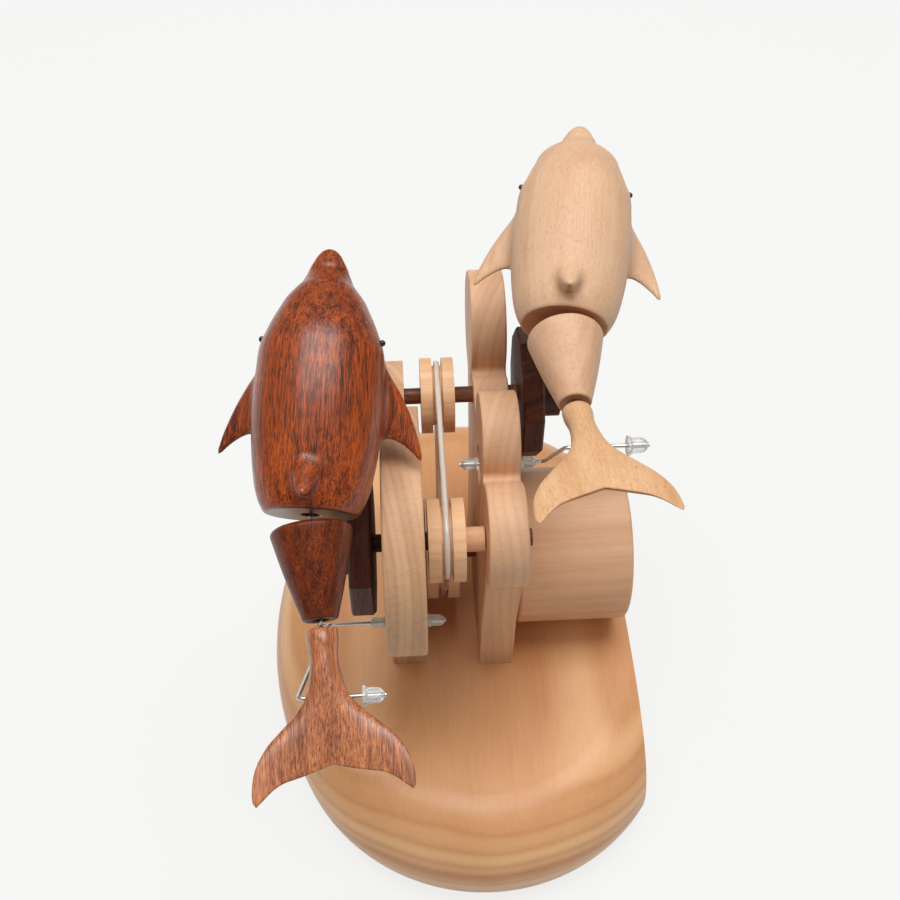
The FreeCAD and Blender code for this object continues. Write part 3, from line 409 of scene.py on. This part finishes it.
MATERIALS = {
    "base": wood("base_beech", "Y", (18.0, -190.0), tone(246, 194, 142), tone(210, 144, 92),
                 ring=4.6, ring_depth=0.7, ring_line=0.2, streak=0.14, mottle=0.2,
                 rough=(0.30, 0.38), relief=0.05),
    "drum": wood("drum_beech", "X", (70.0, 30.0), tone(244, 198, 158), tone(214, 158, 116),
                 ring=3.4, ring_depth=0.3, ring_line=0.1, streak=0.25, fleck=0.12,
                 shift=(40, 0, 10), rough=(0.42, 0.52)),
    "left_plate": wood("left_plate_beech", "Z", (-160.0, 60.0), tone(228, 184, 144),
                       tone(192, 144, 104), ring=2.6, ring_depth=0.35, ring_line=0.2,
                       streak=0.25, rays=0.12, rough=(0.46, 0.6)),
    "right_plate": wood("right_plate_beech", "Z", (180.0, 40.0), tone(242, 198, 160),
                        tone(210, 160, 120), ring=3.1, ring_depth=0.3, ring_line=0.15,
                        streak=0.2, rays=0.08, shift=(10, 20, 0), rough=(0.46, 0.6)),
    "pulley": wood("pulley_beech", "X", (60.0, 20.0), tone(250, 206, 162), tone(222, 170, 126),
                   ring=2.4, ring_depth=0.35, ring_line=0.2, streak=0.3),
    "dowel": wood("dowel_wood", "X", (20.0, 20.0), tone(150, 92, 58), tone(100, 52, 30),
                  ring=1.6, streak=0.4, pore=0.4, rough=(0.38, 0.5)),
    "dark_disc": wood("dark_disc_wood", "Z", (50.0, 60.0), tone(104, 48, 26), tone(40, 16, 10),
                      ring=2.6, ring_depth=0.6, ring_line=0.4, streak=0.6, pore=0.5,
                      pore_tone=tone(22, 9, 6), rough=(0.34, 0.48), specular=0.3),
    "dark_dolphin": wood("dark_dolphin_wood", pith=(26.0, 60.0), light=tone(206, 92, 28),
                         dark=tone(66, 20, 5), streak=0.95, pore=0.75, pore_tone=tone(44, 12, 4),
                         rough=(0.24, 0.40), specular=0.12, coat=0.7, end_grain_and_shade=0.4, **DARK_WOOD),
    # the cone's wood is darker than the body's: painted shade for the cone, which gets less light
    # than the body
    "dark_cone": wood("dark_cone_wood_painted_shade", pith=(22.0, 52.0), light=tone(150, 64, 22),
                      dark=tone(60, 19, 6), streak=0.9, pore=0.7, pore_tone=tone(36, 11, 5),
                      rough=(0.28, 0.42), specular=0.12, coat=0.3, end_grain_and_shade=0.4, **DARK_WOOD),
    # the fluke's wood is lighter than the body's: painted highlight for the hazy sheen on its
    # middle
    "dark_fluke": wood("dark_fluke_wood_painted_sheen", pith=(26.0, 44.0), light=tone(226, 140, 84),
                       dark=tone(122, 54, 22), streak=0.9, pore=0.6, pore_tone=tone(62, 22, 9),
                       rough=(0.28, 0.42), specular=0.25, coat=0.9, end_grain_and_shade=0.7, **DARK_WOOD),
    "light_dolphin": wood("light_dolphin_wood", pith=(20.0, 90.0), light=tone(240, 202, 168),
                          dark=tone(206, 158, 118), ring=5.0, ring_depth=0.3, ring_line=0.1,
                          streak=0.32, fleck=0.35, end_grain_and_shade=0.75, **LIGHT_WOOD),
    "light_cone": wood("light_cone_wood", pith=(-14.0, 60.0), light=tone(236, 196, 162),
                       dark=tone(200, 150, 110), ring=3.6, ring_depth=0.35, ring_line=0.15,
                       streak=0.3, fleck=0.3, end_grain_and_shade=0.75, **LIGHT_WOOD),
    "light_fluke": wood("light_fluke_wood", pith=(12.0, 50.0), light=tone(238, 196, 152),
                        dark=tone(204, 150, 104), ring=4.2, ring_depth=0.3, ring_line=0.1,
                        streak=0.4, fleck=0.5, end_grain_and_shade=0.9, **LIGHT_WOOD),
    "steel": steel(),
    "silicone": clear("clear_silicone", tone(246, 248, 248), rough=(0.14, 0.28), haze=0.35,
                      coat=0.6),
    "belt": clear("clear_belt", tone(252, 246, 238), rough=(0.07, 0.14), haze=0.6,
                  coat=1.0),
    "bead": bead(),
}

# the CAD nodes that each material finishes
PAINTED = {
    "base": ["base_block"],
    "drum": ["hand_drum"],
    "left_plate": ["left_frame_plate"],
    "right_plate": ["right_frame_plate"],
    "pulley": ["drive_pulley_discs", "drive_pulley_core", "front_pulley_discs",
               "front_pulley_core", "back_pulley_discs", "back_pulley_core",
               "front_axle_spacer"],
    "dowel": ["front_axle", "back_axle", "main_shaft", "left_plate_dowels",
              "right_plate_dowels"],
    "dark_disc": ["dark_crank_disc", "light_crank_disc", "dark_arm", "light_arm"],
    "steel": ["dark_crank_pin", "light_crank_pin", "dark_wire", "light_wire",
              "dark_body_eyelet", "light_body_eyelet", "dark_cone_eyelets",
              "light_cone_eyelets", "dark_fluke_eyelet", "light_fluke_eyelet"],
    "silicone": ["dark_wire_stoppers", "light_wire_stoppers"],
    "belt": ["drive_belt"],
    "bead": ["dark_eyes", "light_eyes"],
    "dark_dolphin": ["dark_body"],
    "dark_cone": ["dark_tail_cone"],
    "dark_fluke": ["dark_fluke"],
    "light_dolphin": ["light_body"],
    "light_cone": ["light_tail_cone"],
    "light_fluke": ["light_fluke"],
}


def paint(node, key):
    """Give a CAD node its finished material."""
    thing = NODES[node]
    if not thing.material_slots:
        thing.data.materials.append(None)
    for place in thing.material_slots:
        place.link = "OBJECT"
        place.material = MATERIALS[key]


# ---------------------------------------------------------------- curves and meshes
def through(stations, values, t):
    """Smooth curve through values at stations (Hermite, with limited slopes)."""
    x = np.asarray(stations, float)
    y = np.asarray(values, float)
    step = np.diff(x)
    rise = np.diff(y) / step
    slope = np.zeros_like(y)
    slope[1:-1] = (rise[:-1] * step[1:] + rise[1:] * step[:-1]) / (step[1:] + step[:-1])
    slope[0] = rise[0]
    slope[-1] = rise[-1]
    t = np.clip(t, x[0], x[-1])
    i = np.clip(np.searchsorted(x, t, side="right") - 1, 0, len(step) - 1)
    u = (t - x[i]) / step[i]
    return (y[i] * (1 + 2 * u) * (1 - u) ** 2 + slope[i] * step[i] * u * (1 - u) ** 2
            + y[i + 1] * u * u * (3 - 2 * u) + slope[i + 1] * step[i] * u * u * (u - 1))


def curve_at(table, place):
    """Height of the smooth curve through a table of (place, height), at one place."""
    stations, heights = zip(*table)
    return float(through(stations, heights, np.array([place]))[0])


def circle(count):
    """Cosine and sine of each of the count steps round a circle."""
    turns = [2 * math.pi * k / count for k in range(count)]
    return [(math.cos(a), math.sin(a)) for a in turns]


def quarter(steps):
    """Cosine and sine of the steps from 0 to 90 degrees."""
    turns = [math.radians(90 * k / steps) for k in range(steps + 1)]
    return [(math.cos(a), math.sin(a)) for a in turns]


def faced_out(mesh):
    """Turn all faces outwards, by the sign of the volume, and shade them smooth."""
    co = np.empty(len(mesh.vertices) * 3)
    mesh.vertices.foreach_get("co", co)
    co = co.reshape(-1, 3)
    mesh.calc_loop_triangles()
    tri = np.empty(len(mesh.loop_triangles) * 3, int)
    mesh.loop_triangles.foreach_get("vertices", tri)
    a, b, c = (co[tri.reshape(-1, 3)[:, k]] for k in range(3))
    if np.einsum("ij,ij->i", a, np.cross(b, c)).sum() < 0:
        mesh.flip_normals()
    mesh.shade_smooth()
    return mesh


def built(name, points, faces):
    """A mesh of points in metres."""
    mesh = bpy.data.meshes.new(name)
    mesh.from_pydata(points, [], faces)
    mesh.validate()
    mesh.update()
    return faced_out(mesh)


def grid_mesh(name, rings):
    """Mesh of rings with the same even number of points each; strips close its two ends."""
    count = len(rings[0])
    half = count // 2
    faces = [(i * count + k, i * count + (k + 1) % count,
              (i + 1) * count + (k + 1) % count, (i + 1) * count + k)
             for i in range(len(rings) - 1) for k in range(count)]
    for start in (0, (len(rings) - 1) * count):
        faces.append((start, start + 1, start + count - 1))
        faces.append((start + half, start + half + 1, start + half - 1))
        faces += [(start + k, start + k + 1, start + count - k - 1, start + count - k)
                  for k in range(1, half - 1)]
    return built(name, [tuple(c * MM for c in p) for ring in rings for p in ring], faces)


def merged(name, pieces):
    """One mesh of several (mesh, matrix) pairs."""
    points, faces = [], []
    for mesh, matrix in pieces:
        start = len(points)
        points += [tuple(matrix @ v.co) for v in mesh.vertices]
        faces += [tuple(start + i for i in face.vertices) for face in mesh.polygons]
    return built(name, points, faces)


# ---------------------------------------------------------------- bodies, carved in a grid
def lofted(t, u, v, rows):
    """About the signed distance to a form with elliptical sections. rows hold t, half width in
    u, middle in v, half height in v, and middle in u."""
    stations = [row[0] for row in rows]
    half_u, mid_v, half_v, mid_u = (through(stations, column, t.ravel()).reshape(t.shape)
                                    for column in list(zip(*rows))[1:])
    half_u = np.maximum(half_u, LEAST_HALF)
    half_v = np.maximum(half_v, LEAST_HALF)
    du = (u - mid_u) / half_u
    dv = (v - mid_v) / half_v
    size = np.sqrt(du * du + dv * dv)
    slope = np.sqrt((du / half_u) ** 2 + (dv / half_v) ** 2)
    side = size * (size - 1) / np.maximum(slope, LEAST_SLOPE)
    past = np.maximum(stations[0] - t, t - stations[-1])
    return np.maximum(side, past)


def joined(a, b, reach):
    """Smooth union of two distance fields."""
    h = np.clip(0.5 + 0.5 * (b - a) / reach, 0, 1)
    return b + (a - b) * h - reach * h * (1 - h)


def without(a, b, reach):
    """Field a with b taken away, the edge rounded by reach."""
    return -joined(-a, b, reach)


def body_mesh(brow):
    """Trunk, head, beak and fins carved as one form; its rear face is at y = 0."""
    x, y, z = np.meshgrid(*[np.arange(a, b, VOXEL) for a, b in zip(GRID_LOW, GRID_HIGH)],
                          indexing="ij", sparse=True)
    trunk = [(t, half + brow.get(t, 0.0), mid, tall, 0.0) for t, half, mid, tall in TRUNK]
    beak = [row + (0.0,) for row in BEAK]
    side_fin = [(px, chord, mz, thick, my) for px, my, chord, mz, thick in PECTORAL]
    top_fin = [(pz, chord, mx, thick, my) for pz, my, chord, mx, thick in DORSAL]
    form = joined(lofted(y, x, z, trunk), lofted(y, x, z, beak), BEAK_BLEND)
    form = joined(form, lofted(np.abs(x), y, z, side_fin), FIN_BLEND)
    form = joined(form, lofted(z, y, x, top_fin), DORSAL_BLEND)
    form = without(form, y + 0 * x + 0 * z, RIM_ROUND)
    pocket = np.maximum(np.sqrt(x * x + z * z) - POCKET_RADIUS, y - POCKET_DEPTH)
    form = without(form, pocket, POCKET_ROUND)
    grid = openvdb.FloatGrid(background=BAND)
    grid.copyFromArray(np.clip(form, -BAND, BAND).astype(np.float32))
    points, quads = grid.convertToQuads(isovalue=0.0)
    points = (points * VOXEL + np.array(GRID_LOW)) * MM
    return built("dolphin_body", points.tolist(), quads.tolist())


# ---------------------------------------------------------------- tails and stoppers
def cone_mesh():
    """Tail cone, turned round Y, with rounded rims and the pockets of its two eye screws."""
    front = -TAIL_GAP / 2
    rear = front - CONE_LENGTH
    bottom = front - POCKET_DEPTH
    profile = [(bottom, AXIS_RADIUS), (bottom, POCKET_RADIUS - POCKET_CORNER),
               (bottom + POCKET_CORNER, POCKET_RADIUS), (front - POCKET_BEVEL, POCKET_RADIUS),
               (front, POCKET_RADIUS + POCKET_BEVEL)]
    profile += [(front - CONE_FRONT_EDGE * (1 - c), CONE_FRONT - CONE_FRONT_EDGE * (1 - s))
                for c, s in quarter(CONE_FRONT_STEPS)]
    taper = CONE_LENGTH - CONE_FRONT_EDGE - CONE_REAR_EDGE
    for k in range(1, TAPER_STEPS):
        share = k / TAPER_STEPS
        radius = CONE_FRONT + (CONE_REAR - CONE_FRONT) * share
        profile.append((front - CONE_FRONT_EDGE - taper * share,
                        radius + CONE_SWELL * math.sin(math.pi * share)))
    profile += [(rear + CONE_REAR_EDGE * (1 - s), CONE_REAR - CONE_REAR_EDGE * (1 - c))
                for c, s in quarter(CONE_REAR_STEPS)]
    profile += [(rear, POCKET_RADIUS + POCKET_BEVEL), (rear + POCKET_BEVEL, POCKET_RADIUS),
                (rear + POCKET_DEPTH, POCKET_RADIUS), (rear + POCKET_DEPTH, AXIS_RADIUS)]
    return grid_mesh("tail_cone", [[(r * c, y, r * s) for c, s in circle(TURNED_STEPS)]
                                   for y, r in profile])


def fluke_mesh(front, widen, shorten, droop):
    """Stalk and two swept lobes: rings that change from straight across to the trailing edge."""
    notch = FLUKE_TRAILING[0][1]
    tip = FLUKE_TRAILING[-1][0]
    rings = [[(r * c, -front - depth, r * s) for c, s in circle(FLUKE_RING)]
             for r, depth in ((AXIS_RADIUS, POCKET_DEPTH), (POCKET_RADIUS, POCKET_DEPTH),
                              (POCKET_RADIUS, 0.0))]
    for i in range(FLUKE_STEPS + 1):
        share = i / FLUKE_STEPS
        straight = front + share * (notch - front)
        pull = share ** SWEEP_POWER
        width = curve_at(FLUKE_LEADING, straight)
        for _ in range(SWEEP_ROUNDS):
            swept = straight + pull * (curve_at(FLUKE_TRAILING, width) - notch)
            width = curve_at(FLUKE_LEADING, swept)
        thick = curve_at(FLUKE_THICK, share)
        ring = []
        for c, s in circle(FLUKE_RING):
            x = width * c
            back = straight + pull * (curve_at(FLUKE_TRAILING, abs(x)) - notch)
            back -= shorten * share
            z = thick * s * (1 - RIM_THIN * pull * abs(c) ** RIM_POWER)
            z -= droop * share * (x / tip) ** 2
            ring.append((x * (1 + (widen - 1) * share), -back, z))
        rings.append(ring)
    return grid_mesh("fluke", rings)


def stopper_mesh(kind):
    """Clear bullet with flange, ribs and round nose; its flange is at x = 0, its nose at +x."""
    flange = STOPPERS[kind]["flange"]
    barrel = STOPPERS[kind]["barrel"]
    nose = barrel * NOSE_LENGTH
    straight = STOPPER_LENGTH - nose
    profile = [(0.0, STOPPER_BORE)] + [(x, flange - inside) for x, inside in FLANGE_SECTION]
    profile += [(FILLET[0], barrel + FILLET[1]), (BARREL_START, barrel)]
    profile += [(BARREL_START + (straight - BARREL_START) * k / BARREL_STEPS, barrel)
                for k in range(1, BARREL_STEPS + 1)]
    profile += [(straight + nose * s, max(barrel * c, NOSE_FLAT))
                for c, s in quarter(NOSE_STEPS)[1:]]
    profile.append((STOPPER_LENGTH, STOPPER_BORE))
    rings = []
    for x, radius in profile:
        height = RIB_HEIGHT if RIB_MARGIN < x < straight + RIB_MARGIN else 0.0
        ribbed = [radius + height * math.cos(RIBS * 2 * math.pi * k / TURNED_STEPS)
                  for k in range(TURNED_STEPS)]
        rings.append([(x, r * c, r * s) for r, (c, s) in zip(ribbed, circle(TURNED_STEPS))])
    return grid_mesh("stopper_" + kind, rings)


def solid_boxes(mesh):
    """Lowest and highest corner of each separate solid of a mesh."""
    points = np.array([tuple(v.co) for v in mesh.vertices])
    root = list(range(len(points)))

    def find(i):
        while root[i] != i:
            root[i] = root[root[i]]
            i = root[i]
        return i

    same = {}
    for i, point in enumerate(points):
        first = same.setdefault(tuple(np.round(point, SAME_DIGITS)), i)
        root[find(i)] = find(first)
    for edge in mesh.edges:
        root[find(edge.vertices[0])] = find(edge.vertices[1])
    sets = {}
    for i in range(len(points)):
        sets.setdefault(find(i), []).append(i)
    return [(points[rows].min(axis=0), points[rows].max(axis=0)) for rows in sets.values()]


# ---------------------------------------------------------------- pieces on their bodies
def linked(name, data):
    """An object in the scene."""
    thing = bpy.data.objects.new(name, data)
    bpy.context.scene.collection.objects.link(thing)
    return thing


def put(name, mesh, matrix, key, body, node):
    """One finished piece that stands for a CAD node."""
    piece = linked(name, mesh)
    piece.data.materials.append(MATERIALS[key])
    piece.matrix_world = matrix
    bpy.context.view_layer.update()
    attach(piece, body)
    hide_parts(node)


def at_hinge(hinge, pitch, yaw):
    """Matrix from a part's own frame, made along +Y from its hinge, to the row frame."""
    return (Matrix.Translation(Vector(hinge)) @ Matrix.Rotation(math.radians(-yaw), 4, "Z")
            @ Matrix.Rotation(math.radians(pitch), 4, "X"))


def make_dolphins():
    """Body, tail cone and fluke of both dolphins, from their hinges."""
    bodies = {"dark": body_mesh({}), "light": body_mesh(LIGHT_BROW)}
    cone = cone_mesh()
    offset = Matrix.Translation((0, TAIL_GAP / 2 * MM, 0))
    for name, lie in POSES.items():
        hinge = JOINTS[name + "_tail_hinge"]["pos_m"]
        rear = JOINTS[name + "_fluke_hinge"]["pos_m"]
        back = (CONE_LENGTH + TAIL_GAP) * MM * math.cos(math.radians(lie["tail_pitch"]))
        rear = (hinge[0] - back * math.sin(math.radians(lie["tail_yaw"])), rear[1], rear[2])
        put(name + "_dolphin_body", bodies[name],
            at_hinge(hinge, lie["pitch"], lie["yaw"]) @ offset,
            name + "_dolphin", name + "_swimmer", name + "_body")
        put(name + "_dolphin_cone", cone.copy(),
            at_hinge(hinge, lie["tail_pitch"], lie["tail_yaw"]),
            name + "_cone", name + "_mid_tail", name + "_tail_cone")
        put(name + "_dolphin_fluke", fluke_mesh(**FLUKES[name]),
            at_hinge(rear, lie["fluke_pitch"], lie["fluke_yaw"]),
            name + "_fluke", name + "_tail_fluke", name + "_fluke")


def make_stoppers():
    """A detailed stopper for each plain one, its flange towards its plate or its fluke."""
    for name, side in (("dark", -1), ("light", 1)):
        boxes = solid_boxes(NODES[name + "_wire_stoppers"].data)
        highest = max(boxes, key=lambda box: box[1][2])
        pieces = []
        for box in sorted(boxes, key=lambda box: box[0][1]):
            low, high = box
            middle = (low + high) / 2
            free = box is highest
            inner = not free and abs(middle[0]) < abs(PLATE_MIDDLE[name])
            direction = 1 if free else (-side if inner else side)
            start = low[0] if direction > 0 else high[0]
            matrix = Matrix.Translation((start, middle[1], middle[2]))
            if direction < 0:
                matrix = matrix @ Matrix.Rotation(math.pi, 4, "Z")
            pieces.append((stopper_mesh("free" if free else "plate"), matrix))
        put(name + "_clear_stoppers", merged("wire_stoppers_" + name, pieces),
            Matrix.Identity(4), "silicone", name + "_linkage",
            name + "_wire_stoppers")


# ---------------------------------------------------------------- camera, light and floor
CAMERA_PLACE = (-11.5, -247.5, 423.5)
CAMERA_PITCH = 50.0       # degrees below the horizon
CAMERA_YAW = 3.4          # degrees to the right
CAMERA_ROLL = -0.4
CAMERA_LENS = 44.0        # on a sensor 36 wide
CAMERA_SENSOR = 36.0
# world and lamp, in metres and watts: a pale room, brighter overhead
SKY_LOW = 0.06            # strength at the horizon
SKY_HIGH = 0.58           # and overhead
LAMP_PLACE = (0.0, 0.1, 1.6)
LAMP_TARGET = (0.0, 0.0, 0.1)
LAMP_SIZE = (1.4, 0.75)
LAMP_POWER = 19.5
PALE = (1.0, 1.0, 0.99, 1)
FLOOR_HALF = 2.5
FLOOR_TONE = (0.62, 0.625, 0.62, 1)
FLOOR_GLOW = 0.8          # share of the pale background where the floor is seen


def make_camera():
    pitch = math.radians(CAMERA_PITCH)
    yaw = math.radians(CAMERA_YAW)
    ahead = Vector((math.sin(yaw) * math.cos(pitch), math.cos(yaw) * math.cos(pitch),
                    -math.sin(pitch)))
    right = Vector((math.cos(yaw), -math.sin(yaw), 0))
    turn = Matrix((right, right.cross(ahead), -ahead)).transposed().to_4x4()
    data = bpy.data.cameras.new("camera")
    data.lens = CAMERA_LENS
    data.sensor_width = CAMERA_SENSOR
    data.clip_start = 0.01
    camera = linked("camera", data)
    camera.matrix_world = (Matrix.Translation(Vector(CAMERA_PLACE) * MM) @ turn
                           @ Matrix.Rotation(math.radians(-CAMERA_ROLL), 4, "Z"))
    bpy.context.scene.camera = camera


def make_light():
    world = bpy.data.worlds.new("studio")
    bpy.context.scene.world = world
    world.use_nodes = True
    tree = world.node_tree
    place = tree.nodes.new("ShaderNodeTexCoord")
    parts = tree.nodes.new("ShaderNodeSeparateXYZ")
    tree.links.new(place.outputs["Generated"], parts.inputs[0])
    sky = tree.nodes.new("ShaderNodeMapRange")
    tree.links.new(parts.outputs[2], sky.inputs["Value"])
    sky.inputs["To Min"].default_value = SKY_LOW
    sky.inputs["To Max"].default_value = SKY_HIGH
    back = tree.nodes["Background"]
    back.inputs["Color"].default_value = PALE
    tree.links.new(sky.outputs[0], back.inputs["Strength"])
    data = bpy.data.lights.new("top_softbox", "AREA")
    data.shape = "RECTANGLE"
    data.size, data.size_y = LAMP_SIZE
    data.energy = LAMP_POWER
    lamp = linked("top_softbox", data)
    lamp.location = LAMP_PLACE
    aim = Vector(LAMP_TARGET) - Vector(LAMP_PLACE)
    lamp.rotation_euler = aim.to_track_quat("-Z", "Y").to_euler()


def make_floor():
    mesh = bpy.data.meshes.new("floor")
    corners = [(x * FLOOR_HALF, y * FLOOR_HALF, 0) for x, y in ((-1, -1), (1, -1), (1, 1), (-1, 1))]
    mesh.from_pydata(corners, [], [(0, 1, 2, 3)])
    floor = linked("floor", mesh)
    s = Surface("white_floor", Base_Color=FLOOR_TONE, Roughness=0.9, Specular_IOR_Level=0.1)
    glow = s.node("Emission")
    glow.inputs["Color"].default_value = PALE
    # the pale background is seen by the camera and in reflections, and lights nothing
    path = s.node("LightPath").outputs
    seen = s.math("MAXIMUM", path["Is Camera Ray"],
                  s.math("MAXIMUM", path["Is Glossy Ray"], path["Is Transmission Ray"]))
    blend = s.node("MixShader")
    s.wire(s.math("MULTIPLY", seen, FLOOR_GLOW), blend.inputs[0])
    s.wire(s.shader.outputs[0], blend.inputs[1])
    s.wire(glow.outputs[0], blend.inputs[2])
    s.wire(blend.outputs[0], s.tree.nodes["Material Output"].inputs["Surface"])
    mesh.materials.append(s.material)


for key, nodes in PAINTED.items():
    for node in nodes:
        paint(node, key)
make_dolphins()
make_stoppers()
make_camera()
make_light()
make_floor()
bpy.context.scene.view_settings.view_transform = "Standard"
